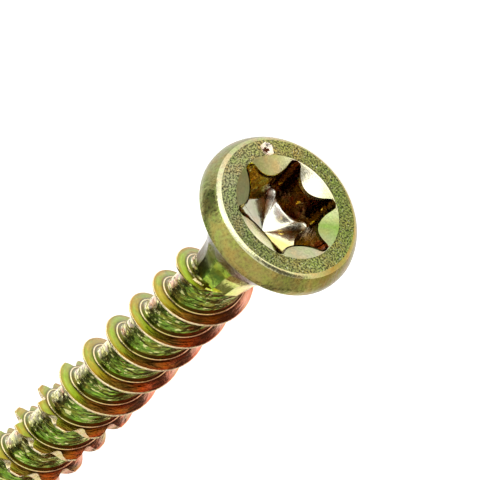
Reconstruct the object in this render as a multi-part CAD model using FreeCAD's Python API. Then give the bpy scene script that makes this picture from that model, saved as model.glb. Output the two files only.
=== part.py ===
import FreeCAD, Part
import math
import os

# Construction screw in steel, lying as it comes to rest, sizes in millimetres.
# It is modelled along its own axis first: the flat ring on top of the head is at z = 0,
# the point is at the lower end, and depth means distance below the ring.

# Head
HEAD_R = 5.96
RING_OUTER_R = 5.15
SHOULDER_MID_R = 5.70
SHOULDER_MID_DEPTH = 0.55
SHOULDER_DEPTH = 1.20
RIM_DEPTH = 1.77
RIM_EDGE = 0.10

# Countersink and star recess
SINK_R = 3.96
SINK_SLOPE_DEG = 30.0
LOBES = 6
LOBE_AZIMUTH_DEG = 27.7
MOUTH_TIP_R = 3.92
MOUTH_CUSP_R = 2.72
LOBE_ROUND_R = 0.42
RECESS_DRAFT_DEG = 6.8
RECESS_DEPTH = 3.25
FLOOR_CONE_DEPTH = 0.45

# Side of the screw that lies down, as an azimuth about the axis
DOWN_AZIMUTH_DEG = 180.0

# Small pit on the ring
PIT_AZIMUTH_DEG = 238.4
PIT_DISTANCE = 4.48
PIT_R = 0.48
PIT_DEPTH = 0.22

# Underside cone and neck
CONE_END_R = 2.58
CONE_END_DEPTH = 7.00
CONE_SLOPE = 0.463
NECK_DEPTH = 9.10
NECK_STEP = 0.08

# Flats on the neck: straight down the cone to the bend, then curving into the neck
FLATS = 14
FLAT_RIDGE_AZIMUTH_DEG = 12.86
FLAT_TOP_DEPTH = 4.00
FLAT_TOP_R = 3.98
FLAT_BEND_DEPTH = 6.50
FLAT_BEND_R = 2.73
FLAT_LOW_DEPTH = 7.80
FLAT_LOW_R = 2.28
FLAT_END_R = 2.13
FLAT_COVER = 0.06

# Shank and point
LENGTH_UNDER_HEAD = 50.0
CORE_R = 2.03
POINT_LENGTH = 6.0
TIP_R = 0.10

# Thread
STARTS = 2
THREAD_R = 3.00
LEAD_LENGTH = 6.774
CREST_WIDTH = 0.16
FLANK_DEG = 17.0
ROOT_STEP_R = 2.25
ROOT_SLOPE = 1.30
ROOT_SINK = 0.23
THREAD_TOP_DEPTH = 9.30
THREAD_TOP_AZIMUTH_DEG = 8.0
RUN_OUT_DEG = 58.0
TIP_CREST_SHARE = 0.55
THREAD_END_GAP = 1.25

# Notches in the lower thread
NOTCH_STEP_DEG = 45.0
NOTCH_WIDTH_DEG = 30.0
NOTCH_DEPTH = 0.68
NOTCH_LEAN_DEG = 28.0
NOTCH_TOP_DEPTH = 28.4
NOTCH_PHASE_DEG = 28.0

# Places that follow from the sizes above
FLAT_LEVELS = [
    (FLAT_TOP_DEPTH, FLAT_TOP_R),
    ((FLAT_TOP_DEPTH + FLAT_BEND_DEPTH) / 2.0, (FLAT_TOP_R + FLAT_BEND_R) / 2.0),
    (FLAT_BEND_DEPTH, FLAT_BEND_R),
    (FLAT_LOW_DEPTH, FLAT_LOW_R),
    (NECK_DEPTH, FLAT_END_R),
]
TIP_DEPTH = RIM_DEPTH + LENGTH_UNDER_HEAD
POINT_DEPTH = TIP_DEPTH - POINT_LENGTH
FLANK_TAN = math.tan(math.radians(FLANK_DEG))
CREST_HALF = CREST_WIDTH / 2.0
# shift of a notch's corners along the thread, from the middle of the crest to one of its sides
NOTCH_HALF_LENGTH = CREST_HALF + NOTCH_DEPTH * FLANK_TAN
NOTCH_SHIFT = math.degrees(NOTCH_HALF_LENGTH * math.tan(math.radians(NOTCH_LEAN_DEG)) / THREAD_R)
POINTS_STEP_DEG = 12.0
LONGEST_FACE_DEG = 120.0
FAINT = 0.04


def at(radius, azimuth_deg, depth):
    angle = math.radians(azimuth_deg)
    return FreeCAD.Vector(radius * math.cos(angle), radius * math.sin(angle), -depth)


def in_plane(radius, depth):
    return FreeCAD.Vector(radius, 0, -depth)


def turned(edges):
    wire = Part.Wire(edges)
    face = Part.Face(wire)
    solid = face.revolve(FreeCAD.Vector(0, 0, 0), FreeCAD.Vector(0, 0, 1), 360)
    return solid


def path(points):
    return [Part.makeLine(a, b) for a, b in zip(points[:-1], points[1:])]


def cone_radius(depth):
    return CONE_END_R + (CONE_END_DEPTH - depth) * CONE_SLOPE


def blank():
    """Head, neck, core and point, turned about the axis."""
    ring = in_plane(RING_OUTER_R, 0)
    shoulder = in_plane(HEAD_R, SHOULDER_DEPTH)
    middle = in_plane(SHOULDER_MID_R, SHOULDER_MID_DEPTH)
    edges = [Part.makeLine(in_plane(0, 0), ring)]
    edges.append(Part.Arc(ring, middle, shoulder).toShape())
    rest = [shoulder]
    rest.append(in_plane(HEAD_R, RIM_DEPTH - RIM_EDGE))
    rest.append(in_plane(HEAD_R - RIM_EDGE, RIM_DEPTH))
    rest.append(in_plane(cone_radius(RIM_DEPTH), RIM_DEPTH))
    for depth, flat in FLAT_LEVELS:
        if depth > CONE_END_DEPTH:
            rest.append(in_plane(flat / math.cos(math.radians(180.0 / FLATS)) + FLAT_COVER, depth))
    rest[-1] = in_plane(rest[-1].x, NECK_DEPTH)
    rest.append(in_plane(CORE_R, NECK_DEPTH + NECK_STEP))
    rest.append(in_plane(CORE_R, POINT_DEPTH))
    rest.append(in_plane(TIP_R, TIP_DEPTH - TIP_R))
    rest.append(in_plane(0, TIP_DEPTH))
    edges += path(rest)
    edges.append(Part.makeLine(in_plane(0, TIP_DEPTH), in_plane(0, 0)))
    return turned(edges)


def around_neck():
    """What the flats take off: a thick ring with a hole of as many sides as there are flats."""
    wires = []
    step = 360.0 / FLATS
    for depth, flat in FLAT_LEVELS:
        corner_r = flat / math.cos(math.radians(step / 2.0))
        corners = [at(corner_r, FLAT_RIDGE_AZIMUTH_DEG + step * i, depth) for i in range(FLATS)]
        wires.append(Part.makePolygon(corners + corners[:1]))
    inside = Part.makeLoft(wires, True, False)
    top = FLAT_LEVELS[0][0]
    bottom = FLAT_LEVELS[-1][0]
    ring = Part.makeCylinder(HEAD_R, bottom - top, FreeCAD.Vector(0, 0, -bottom))
    return ring.cut(inside)


def star(tip_r, cusp_r, round_r, depth):
    """Closed outline of arcs: a lobe arc at each tip, a hollow arc at each cusp, tangent to each other."""
    half = math.radians(180.0 / LOBES)
    lobe_centre = tip_r - round_r
    # the cusp arc's centre lies outside, on the line through the cusp, its edge touches the cusp
    # and the lobe arc: (cusp_r + rho) to the lobe centre is rho + round_r away
    near = cusp_r
    a = 2 * (near - lobe_centre * math.cos(half)) - 2 * round_r
    b = round_r * round_r - near * near - lobe_centre * lobe_centre + 2 * near * lobe_centre * math.cos(half)
    rho = b / a
    cusp_centre = near + rho
    edges = []
    for i in range(LOBES):
        tip_az = math.radians(LOBE_AZIMUTH_DEG) + 2 * half * i
        before = tip_az - half
        after = tip_az + half
        lobe = FreeCAD.Vector(lobe_centre * math.cos(tip_az), lobe_centre * math.sin(tip_az), -depth)
        touches = []
        for az in (before, after):
            outer = FreeCAD.Vector(cusp_centre * math.cos(az), cusp_centre * math.sin(az), -depth)
            touches.append(lobe + (outer - lobe) * (round_r / (round_r + rho)))
        tip = FreeCAD.Vector(tip_r * math.cos(tip_az), tip_r * math.sin(tip_az), -depth)
        edges.append(Part.Arc(touches[0], tip, touches[1]).toShape())
        outer = FreeCAD.Vector(cusp_centre * math.cos(after), cusp_centre * math.sin(after), -depth)
        next_az = tip_az + 2 * half
        next_lobe = FreeCAD.Vector(lobe_centre * math.cos(next_az), lobe_centre * math.sin(next_az), -depth)
        next_touch = next_lobe + (outer - next_lobe) * (round_r / (round_r + rho))
        cusp = FreeCAD.Vector(cusp_r * math.cos(after), cusp_r * math.sin(after), -depth)
        edges.append(Part.Arc(touches[1], cusp, next_touch).toShape())
    return Part.Wire(edges)


def recess():
    """Tapered star with a shallow cone for a floor, open at the top."""
    above = 0.5
    deepest = RECESS_DEPTH + FLOOR_CONE_DEPTH
    draft = math.tan(math.radians(RECESS_DRAFT_DEG))
    wires = []
    for depth in (-above, deepest):
        inward = depth * draft
        wires.append(star(MOUTH_TIP_R - inward, MOUTH_CUSP_R - inward, LOBE_ROUND_R - inward * 0.3, depth))
    tapered = Part.makeLoft(wires, True, True)
    outline = [in_plane(0, -above), in_plane(HEAD_R, -above), in_plane(HEAD_R, RECESS_DEPTH)]
    outline.append(in_plane(MOUTH_TIP_R, RECESS_DEPTH))
    outline.append(in_plane(0, deepest))
    outline.append(in_plane(0, -above))
    return tapered.common(turned(path(outline)))


def countersink():
    depth = SINK_R * math.tan(math.radians(SINK_SLOPE_DEG))
    return turned(path([in_plane(0, 0), in_plane(SINK_R, 0), in_plane(0, depth), in_plane(0, 0)]))


def pit():
    ball_r = (PIT_R * PIT_R + PIT_DEPTH * PIT_DEPTH) / (2 * PIT_DEPTH)
    centre = at(PIT_DISTANCE, PIT_AZIMUTH_DEG, PIT_DEPTH - ball_r)
    return Part.makeSphere(ball_r, centre)


def core_radius(depth):
    if depth <= POINT_DEPTH:
        return CORE_R
    share = (TIP_DEPTH - TIP_R - depth) / (POINT_LENGTH - TIP_R)
    return TIP_R + (CORE_R - TIP_R) * share


def depth_of(turn_deg):
    return THREAD_TOP_DEPTH + LEAD_LENGTH * turn_deg / 360.0


def turn_of(depth):
    return (depth - THREAD_TOP_DEPTH) * 360.0 / LEAD_LENGTH


def crest_share(turn_deg):
    """Height of the thread, as a share of the full height, with both run-outs."""
    last = turn_of(TIP_DEPTH - THREAD_END_GAP)
    taper = turn_of(POINT_DEPTH)
    fade = last - RUN_OUT_DEG
    marks = [(0.0, FAINT), (RUN_OUT_DEG, 1.0), (taper, 1.0), (fade, TIP_CREST_SHARE), (last, FAINT)]
    for (a, low), (b, high) in zip(marks[:-1], marks[1:]):
        if turn_deg <= b:
            return low + (high - low) * (turn_deg - a) / (b - a)
    return FAINT


def notch_share(turn_deg):
    """How far a notch goes down at this place: 0 on the crest, 1 at the bottom of the V."""
    first = turn_of(NOTCH_TOP_DEPTH)
    last = turn_of(POINT_DEPTH)
    nearest = NOTCH_PHASE_DEG + NOTCH_STEP_DEG * round((turn_deg - NOTCH_PHASE_DEG) / NOTCH_STEP_DEG)
    if nearest < first or nearest > last - NOTCH_WIDTH_DEG:
        return 0.0
    return max(0.0, 1.0 - abs(turn_deg - nearest) / (NOTCH_WIDTH_DEG / 2.0))


def section(turn_deg, lean, side, level):
    """Distance from the axis and offset along it, for one corner of the thread's section.

    side is -1 towards the head and 1 towards the point, level 0 inside the core, 1 at the step
    above the root and 2 at the crest. lean is the shift of this side's notches.
    """
    share = crest_share(turn_deg)
    inside = CORE_R - ROOT_SINK
    if level == 2:
        radius = THREAD_R - NOTCH_DEPTH * notch_share(turn_deg - lean)
        offset = CREST_HALF + (THREAD_R - radius) * FLANK_TAN
    else:
        step_half = CREST_HALF + (THREAD_R - ROOT_STEP_R) * FLANK_TAN
        if level == 1:
            radius = ROOT_STEP_R
            offset = step_half
        else:
            radius = inside
            offset = step_half + (ROOT_STEP_R - inside) * ROOT_SLOPE
    real_inside = core_radius(depth_of(turn_deg)) - ROOT_SINK
    return real_inside + share * (radius - inside), side * offset * (0.3 + 0.7 * share)


def curve(turns, start_deg, lean, side, level):
    points = []
    for turn_deg in turns:
        radius, offset = section(turn_deg, lean, side, level)
        points.append(at(radius, start_deg - turn_deg, depth_of(turn_deg) + offset))
    if len(points) == 2:
        return Part.makeLine(points[0], points[1])
    line = Part.BSplineCurve()
    line.interpolate(Points=points, Parameters=[float(t - turns[0]) for t in turns])
    return line.toShape()


def stations():
    """Turn angles at which the thread's faces end: run-outs, taper and the corners of each notch."""
    last = turn_of(TIP_DEPTH - THREAD_END_GAP)
    taper = turn_of(POINT_DEPTH)
    marks = [(0.0, False), (RUN_OUT_DEG, False), (taper, False), (last - RUN_OUT_DEG, False), (last, False)]
    first = turn_of(NOTCH_TOP_DEPTH)
    count = int(math.ceil((first - NOTCH_PHASE_DEG) / NOTCH_STEP_DEG))
    centre = NOTCH_PHASE_DEG + NOTCH_STEP_DEG * count
    half = NOTCH_WIDTH_DEG / 2.0
    while centre <= taper - NOTCH_WIDTH_DEG:
        for place in (centre - half, centre, centre + half):
            marks.append((place, True))
        centre += NOTCH_STEP_DEG
    marks.sort()
    full = [marks[0]]
    for (a, a_notch), (b, b_notch) in zip(marks[:-1], marks[1:]):
        pieces = int(math.ceil((b - a) / LONGEST_FACE_DEG - 1e-9))
        for i in range(1, pieces):
            full.append((a + (b - a) * i / pieces, False))
        full.append((b, b_notch))
    return full


def thread(start_deg):
    """One start of the thread, as a closed solid rooted inside the core."""
    marks = stations()
    corners = [(1, 0), (1, 1), (1, 2), (-1, 2), (-1, 1), (-1, 0)]
    faces = []
    for (a, a_notch), (b, b_notch) in zip(marks[:-1], marks[1:]):
        rails = []
        for side, level in corners:
            lean = side * NOTCH_SHIFT
            low = a + lean * a_notch
            high = b + lean * b_notch
            count = max(2, int(math.ceil((high - low) / POINTS_STEP_DEG)))
            turns = [low + (high - low) * i / count for i in range(count + 1)]
            rails.append((turns, side, level, lean))
        counts = max(len(r[0]) for r in rails)
        edges = []
        for turns, side, level, lean in rails:
            low = turns[0]
            high = turns[-1]
            even = [low + (high - low) * i / (counts - 1) for i in range(counts)]
            edges.append(curve(even, start_deg, lean, side, level))
        for i in range(len(edges)):
            faces.append(Part.makeRuledSurface(edges[i], edges[(i + 1) % len(edges)], 1))
    for end in (marks[0][0], marks[-1][0]):
        ring = []
        for side, level in corners:
            radius, offset = section(end, 0.0, side, level)
            ring.append(at(radius, start_deg - end, depth_of(end) + offset))
        ring.append(ring[0])
        faces.append(Part.Face(Part.makePolygon(ring)))
    shell = Part.makeCompound(faces)
    shell.sewShape()
    solid = Part.makeSolid(shell.Shells[0])
    if solid.Volume < 0:
        solid.reverse()
    return solid


def screw():
    body = blank().cut(around_neck())
    body = body.cut(countersink())
    body = body.cut(recess())
    body = body.cut(pit())
    threads = []
    for i in range(STARTS):
        start = THREAD_TOP_AZIMUTH_DEG + 360.0 * i / STARTS
        threads.append(thread(start))
    return body.fuse(threads)


def resting(shape):
    """Lying on the rim of the head and on the last full crest, along X, head towards +X."""
    step = 360.0 / STARTS
    crossing = (THREAD_TOP_AZIMUTH_DEG - DOWN_AZIMUTH_DEG) % step
    while crossing + step <= turn_of(POINT_DEPTH):
        crossing += step
    contact = depth_of(crossing) + CREST_HALF
    rim = RIM_DEPTH - RIM_EDGE
    tilt = math.atan2(HEAD_R - THREAD_R, contact - rim)
    shape.rotate(FreeCAD.Vector(0, 0, 0), FreeCAD.Vector(0, 0, 1), 360.0 - DOWN_AZIMUTH_DEG)
    shape.rotate(FreeCAD.Vector(0, 0, 0), FreeCAD.Vector(0, 1, 0), 90 - math.degrees(tilt))
    height = HEAD_R * math.cos(tilt) + rim * math.sin(tilt)
    front = RING_OUTER_R * math.sin(tilt)
    back = -TIP_DEPTH * math.cos(tilt)
    shape.translate(FreeCAD.Vector(-(front + back) / 2.0, 0, height))
    return shape


os.makedirs("parts", exist_ok=True)
resting(screw()).exportStep("parts/screw.step")
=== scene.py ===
from functools import partial
from math import atan2, cos, pi, radians, sin, tan

import bpy
from mathutils import Matrix, Vector


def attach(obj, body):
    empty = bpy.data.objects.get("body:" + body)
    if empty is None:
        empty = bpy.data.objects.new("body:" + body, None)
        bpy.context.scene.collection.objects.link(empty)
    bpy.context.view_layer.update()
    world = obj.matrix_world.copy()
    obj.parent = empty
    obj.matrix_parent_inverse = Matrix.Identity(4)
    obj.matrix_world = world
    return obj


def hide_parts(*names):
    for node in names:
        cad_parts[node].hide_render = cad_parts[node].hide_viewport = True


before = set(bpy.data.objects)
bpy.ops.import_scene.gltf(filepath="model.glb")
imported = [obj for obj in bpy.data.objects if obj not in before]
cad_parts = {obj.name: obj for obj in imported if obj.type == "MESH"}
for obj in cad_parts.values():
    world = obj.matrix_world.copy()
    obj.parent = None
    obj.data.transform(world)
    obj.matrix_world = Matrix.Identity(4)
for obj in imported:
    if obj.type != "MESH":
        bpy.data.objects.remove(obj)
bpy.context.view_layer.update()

bl_info = {
    "name": "Construction Screw",
    "version": (1, 0, 0),
    "blender": (4, 5, 0),
    "location": "3D View > Sidebar > Screw",
    "description": "A cold-formed, thread-rolled steel screw with a yellow chromate finish",
    "category": "Object",
}

# The screw is modelled in millimetres along its own axis, the ring on top of its head at z = 0
# and its point below, and is then laid down where the frame has it. A radius is measured from
# the axis and a depth down from the ring.
MM = 0.001
# for turning and scaling about the axis, and for telling places apart
AXIS = (0.0, 0.0, 0.0)
HAIR = 0.001

# The star recess: its foot is this share of its mouth, and its floor is a shallow cone
LOBES = 6
LOBE_AZIMUTH = radians(27.7)
COLUMNS = 336
FOOT_SHARE = 0.897
FLOOR_CONE = 0.42
FLOOR_RINGS = 7
MOUTH_ROUND = 0.04
FOOT_ROUND = 0.12

# The countersink round it is crowned: this much less steep than its slope at its edge and at the star
EDGE_EASE = radians(10.0)
STAR_EASE = radians(5.0)
DISH_MARGIN = 0.2
DISH_COLUMNS = 720
DISH_STEP = 0.12
DISH_RINGS = 15
LAND_CUTS = 5
SINK_ROUND = 0.10

# The pit pressed into the ring
PIT_AZIMUTH = radians(238.4)
PIT_OUT = 4.48
PIT_RADIUS = 0.48
PIT_DEPTH = 0.22
PIT_CENTRE = PIT_OUT * Vector((cos(PIT_AZIMUTH), sin(PIT_AZIMUTH)))

# The head, as (radius, depth) round the shoulder and (distance inside the widest radius, depth) down
# the side and round the rim, then the flat underside
RING_STEPS = 16
SHOULDER = ((5.30, 0.07), (5.45, 0.20), (5.585, 0.37), (5.70, 0.55), (5.80, 0.75), (5.89, 0.97))
RIM = ((0.0, 1.20), (0.0, 1.35), (0.0, 1.50), (0.0, 1.65), (0.015, 1.72), (0.05, 1.755), (0.10, 1.77))
UNDERSIDE = (5.4, 1.775)

# The cone below it, with a small fillet at its top and a rounded foot
CONE_RADIUS = 2.58
CONE_END = 7.0
CONE_SLOPE = 0.463
CONE_TOP = (5.0476, 1.78)
CONE_DEPTHS = [1.86] + [2.2 + 0.2 * i for i in range(25)]
CONE_FOOT = ((2.50, 7.25), (2.46, 7.5))

# The flats, as (depth, distance from the axis); the neck is turned this much wider than their ridges
FLATS = 14
FLAT_AZIMUTH = radians(12.86)
FLAT_LEVELS = ((4.0, 3.98), (4.6, 3.675), (5.25, 3.345), (5.8, 3.05), (6.3, 2.80), (6.7, 2.615),
               (7.1, 2.465), (7.5, 2.355), (7.9, 2.275), (8.4, 2.20), (9.1, 2.13))
FLAT_COVER = 0.06
NECK_TOP = 7.8
NECK_TOP_FLAT = 2.28
NECK_RINGS = 8

# The shank and its point, as (radius beyond the core, depth) at its top and (radius, distance from
# the end) at the tip
SHANK_TOP = ((0.02, 9.13), (0.0, 9.18))
SHANK_RINGS = 14
POINT_RINGS = 8
TIP = ((0.12, 0.10), (0.08, 0.04), (0.03, 0.005))

# The thread. Its section has straight flanks, and at the root a small step and a bead, as (radius,
# distance out from the flank's line). That line ends at ROOT_RADIUS for the step.
STARTS = 2
THREAD_TOP_AZIMUTH = radians(62.0)
THREAD_TOP = 8.284
THREAD_END = 1.25
STEPS_A_TURN = 108
FLANK = radians(17.0)
CREST_HALF = 0.08
ROOT_SINK = 0.23
ROOT_SPREAD = 0.585
ROOT_RADIUS = 2.25
ROOT_STEP = ((1.97, 0.40), (2.06, 0.23), (2.13, 0.10))
ROOT_BEAD = ((2.175, 0.030), (2.205, 0.035), (2.235, 0.075), (2.275, 0.085), (2.315, 0.055), (2.350, 0.005))
STRAIGHT = ((2.60, 0.0), (2.88, 0.0), (2.945, -0.004))
# rounded over the crest: (distance inside the crest, half the width)
CREST = ((0.015, 0.062), (0.0, 0.025))
SECTION_REACH = 1.2

# The run-outs end at FAINT of the thread's height: at the neck in one long fade, and down the
# point in a slow one to POINT_SHARE and then a quick one
TOP_RUN_OUT = radians(112.0)
TOP_RUN_OUT_STEPS = 34
TIP_RUN_OUT = radians(58.0)
POINT_STEPS = 72
POINT_CORE_END = 0.1
POINT_SHARE = 0.55
FAINT = 0.04

# The notches lean to the right. The cutter's outline is half its width round the screw, in
# degrees, at each share of the notch's height: a rounded floor and flared shoulders.
NOTCHES = 20
NOTCH_TURN = radians(45.0)
NOTCH_FIRST = radians(82.0) + 22 * NOTCH_TURN
NOTCH_LEAN = radians(24.0)
CUTTER_LENGTH = 1.3
CUTTER = ((0.0, 0.0), (0.02, 1.7), (0.08, 3.0), (0.20, 4.3), (0.36, 5.6), (0.52, 7.1), (0.66, 8.9),
          (0.78, 11.1), (0.88, 13.8), (0.95, 16.8), (0.99, 19.4), (1.03, 21.2), (1.6, 21.4))

# Lying on the rim of the head and on the last full crest
RING_CENTRE = Vector((25.6379, 0.0, 6.0632))
AXIS_TILT = radians(4.05727)


class ScrewSizes(bpy.types.PropertyGroup):
    """Sizes of the screw, in millimetres"""
    head_radius: bpy.props.FloatProperty(
        name="Head radius", description="Widest radius of the head, mm", default=5.96)
    ring_radius: bpy.props.FloatProperty(
        name="Ring radius", description="Outer radius of the flat ring on the head, mm", default=5.15)
    sink_radius: bpy.props.FloatProperty(
        name="Countersink radius", description="Radius of the countersink round the drive, mm", default=3.96)
    sink_slope: bpy.props.FloatProperty(
        name="Countersink slope", description="Slope of the countersink, before it is crowned",
        default=radians(30.0), subtype="ANGLE")
    lobe_tip: bpy.props.FloatProperty(
        name="Lobe tip", description="Distance of a lobe's tip from the axis, mm", default=3.85)
    lobe_cusp: bpy.props.FloatProperty(
        name="Lobe cusp", description="Distance of the cusp between lobes from the axis, mm", default=2.63)
    lobe_round: bpy.props.FloatProperty(
        name="Lobe rounding", description="Radius of a lobe's end, mm", default=0.42)
    drive_depth: bpy.props.FloatProperty(
        name="Drive depth", description="Depth of the star recess, mm", default=3.30)
    shank_radius: bpy.props.FloatProperty(
        name="Core radius", description="Radius of the core between the turns, mm", default=2.03)
    thread_radius: bpy.props.FloatProperty(
        name="Thread radius", description="Radius of the thread's crest, mm", default=3.00)
    lead: bpy.props.FloatProperty(
        name="Lead", description="Way of each start in one turn, mm", default=6.774)
    length: bpy.props.FloatProperty(
        name="Length", description="From the ring to the point, mm", default=51.77)
    point_length: bpy.props.FloatProperty(
        name="Point length", description="Length of the tapered point, mm", default=6.0)
    notch_depth: bpy.props.FloatProperty(
        name="Notch depth", description="Depth of the notches in the lower thread, mm", default=0.60)


class ScrewColours(bpy.types.PropertyGroup):
    """Colours of the chromate film and the floor"""
    film: bpy.props.FloatVectorProperty(
        name="Film", description="Tint that multiplies the colours of the yellow chromate", subtype="COLOR",
        default=(1.0, 1.0, 1.0), min=0.0, max=1.0)
    floor: bpy.props.FloatVectorProperty(
        name="Floor", description="Colour of the floor", subtype="COLOR",
        default=(0.9, 0.9, 0.9), min=0.0, max=1.0)


def mode(name):
    bpy.ops.object.mode_set(mode=name)


def plain_start():
    """Nothing is selected, in object mode."""
    if bpy.context.object and bpy.context.object.mode != "OBJECT":
        mode("OBJECT")
    bpy.ops.object.select_all(action="DESELECT")


def only(piece):
    """The piece alone is selected and active."""
    plain_start()
    piece.select_set(True)
    bpy.context.view_layer.objects.active = piece


def edit(piece, kind="VERT", action="SELECT"):
    """The piece alone is in edit mode, with all of it selected."""
    only(piece)
    mode("EDIT")
    bpy.ops.mesh.select_mode(type=kind)
    bpy.ops.mesh.select_all(action=action)


def pick(piece, test):
    """Selects the vertices for which the test holds, and nothing else."""
    bpy.ops.mesh.select_mode(type="VERT")
    bpy.ops.mesh.select_all(action="DESELECT")
    mode("OBJECT")
    piece.data.vertices.foreach_set("select", [test(vertex) for vertex in piece.data.vertices])
    mode("EDIT")


def pick_rim(piece, test):
    """Selects the open edge of the piece, where the test on the places of its vertices holds."""
    bpy.ops.mesh.select_all(action="DESELECT")
    bpy.ops.mesh.select_non_manifold(use_wire=False, use_multi_face=False, use_non_contiguous=False,
                                     use_verts=False)
    mode("OBJECT")
    rim = {vertex.index for vertex in piece.data.vertices if vertex.select and test(vertex.co)}
    mode("EDIT")
    pick(piece, lambda vertex: vertex.index in rim)


def pick_edges(piece, test):
    """Selects the edges for which the test on the places of both ends holds, and nothing else."""
    bpy.ops.mesh.select_all(action="DESELECT")
    bpy.ops.mesh.select_mode(type="EDGE")
    mode("OBJECT")
    vertices = piece.data.vertices
    for edge in piece.data.edges:
        edge.select = test(*(vertices[i].co for i in edge.vertices))
    mode("EDIT")


def face_outward():
    """Turns the normals of the piece in edit mode outward."""
    bpy.ops.mesh.select_all(action="SELECT")
    bpy.ops.mesh.normals_make_consistent(inside=False)


def draw_out(down=0.0, scale=1.0):
    """Extrudes the selected loop, lowers it and scales it about the axis."""
    bpy.ops.mesh.extrude_edges_move(TRANSFORM_OT_translate={"value": (0.0, 0.0, -down)})
    if scale != 1.0:
        bpy.ops.transform.resize(value=(scale, scale, 1.0), center_override=AXIS)


def lathe_on(levels, radius, depth):
    """From a round loop at this radius and depth, extrudes a ring for each (radius, depth) of the levels."""
    for next_radius, next_depth in levels:
        draw_out(next_depth - depth, next_radius / radius)
        radius, depth = next_radius, next_depth


def apply_modifier(piece, kind, **settings):
    only(piece)
    modifier = piece.modifiers.new("step", kind)
    for name, value in settings.items():
        setattr(modifier, name, value)
    bpy.ops.object.modifier_apply(modifier=modifier.name)


def copy_of(piece):
    """A copy with its own mesh."""
    made = piece.copy()
    made.data = piece.data.copy()
    bpy.context.collection.objects.link(made)
    return made


def remove(piece):
    bpy.data.objects.remove(piece, do_unlink=True)


def unit(angle):
    """The unit vector at this angle from the x axis."""
    return Vector((cos(angle), sin(angle)))


def half_lobe(tip, cusp, lobe_round):
    """Four Bezier arcs from a lobe's tip to the middle of the hollow beside it, for a lobe on the x axis."""
    half = pi / LOBES
    lobe_centre = tip - lobe_round
    spread = 2 * (cusp - lobe_centre * cos(half)) - 2 * lobe_round
    hollow = (lobe_round ** 2 - cusp ** 2 - lobe_centre ** 2
              + 2 * cusp * lobe_centre * cos(half)) / spread
    lobe_at = Vector((lobe_centre, 0.0))
    hollow_at = (cusp + hollow) * unit(half)
    across = hollow_at - lobe_at
    first = atan2(-across.y, -across.x)
    last = atan2(-hollow_at.y, -hollow_at.x)
    # one arc round the lobe to where it touches the hollow, and three down the hollow
    plan = [(lobe_at, lobe_round, 0.0, atan2(across.y, across.x))]
    step = (last - first) / 3
    for i in range(3):
        plan.append((hollow_at, hollow, first + step * i, first + step * (i + 1)))
    arcs = []
    for centre, radius, a, b in plan:
        reach = 4.0 / 3.0 * tan((b - a) / 4.0) * radius
        start = centre + radius * unit(a)
        end = centre + radius * unit(b)
        out = start + reach * unit(a + pi / 2)
        back = end - reach * unit(b + pi / 2)
        arcs.append((start, out, back, end))
    return arcs


def star_outline(tip, cusp, lobe_round):
    """A closed Bezier curve of arcs, round at each lobe's tip and hollow at each cusp, made a mesh."""
    arcs = half_lobe(tip, cusp, lobe_round)
    flip = Matrix(((1.0, 0.0), (0.0, -1.0)))
    pieces = []
    for lobe in range(LOBES):
        turn = Matrix.Rotation(LOBE_AZIMUTH + 2 * pi / LOBES * lobe, 2)
        for start, out, back, end in reversed(arcs):
            pieces.append([turn @ (flip @ p) for p in (end, back, out, start)])
        for start, out, back, end in arcs:
            pieces.append([turn @ p for p in (start, out, back, end)])
    plain_start()
    bpy.ops.curve.primitive_bezier_circle_add(radius=tip, enter_editmode=True)
    bpy.ops.curve.select_all(action="SELECT")
    bpy.ops.curve.handle_type_set(type="FREE_ALIGN")
    bpy.ops.curve.subdivide(number_cuts=len(pieces) // 4 - 1)
    mode("OBJECT")
    outline = bpy.context.object
    outline.data.resolution_u = COLUMNS // len(pieces)
    for i, point in enumerate(outline.data.splines[0].bezier_points):
        before, after = pieces[i - 1], pieces[i]
        point.handle_left_type = "FREE"
        point.handle_right_type = "FREE"
        point.co = (*after[0], 0.0)
        point.handle_left = (*before[2], 0.0)
        point.handle_right = (*after[1], 0.0)
    only(outline)
    bpy.ops.object.convert(target="MESH")
    return bpy.context.object


def make_dish(sizes):
    """A helper with the countersink's crowned cone, from just outside its edge to inside the star."""
    sink = sizes.sink_radius
    edge_slope = tan(sizes.sink_slope - EDGE_EASE)
    star_slope = tan(sizes.sink_slope - STAR_EASE)
    crown = (star_slope - edge_slope) / (sink - sizes.lobe_cusp)
    rise = DISH_MARGIN * edge_slope
    plain_start()
    bpy.ops.mesh.primitive_circle_add(
        vertices=DISH_COLUMNS, radius=sink + DISH_MARGIN, location=(0.0, 0.0, rise))
    dish = bpy.context.object
    edit(dish)
    levels = []
    for i in range(DISH_RINGS):
        inward = DISH_STEP * i
        levels.append((sink - inward, inward * (edge_slope + crown * inward)))
    lathe_on(levels, sink + DISH_MARGIN, -rise)
    return dish


def form_lands(blank, sizes):
    """The lands: the star's outline drawn out to a circle, and laid on the countersink."""
    sink = sizes.sink_radius
    edit(blank)
    draw_out()
    bpy.ops.transform.tosphere(value=1.0)
    mode("OBJECT")
    radius = max(v.co.length for v in blank.data.vertices if v.select)
    mode("EDIT")
    bpy.ops.transform.resize(value=(sink / radius, sink / radius, 1.0), center_override=AXIS)

    def ends_on_rim(p, q):
        inner, outer = sorted((p.xy.length, q.xy.length))
        return inner < sink - 10 * HAIR and outer > sink - HAIR

    pick_edges(blank, ends_on_rim)
    bpy.ops.mesh.subdivide_edgering(number_cuts=LAND_CUTS, interpolation="LINEAR")
    dish = make_dish(sizes)
    apply_modifier(blank, "SHRINKWRAP", target=dish, wrap_method="PROJECT", use_project_z=True,
                   use_negative_direction=True, use_positive_direction=True)
    remove(dish)


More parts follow.
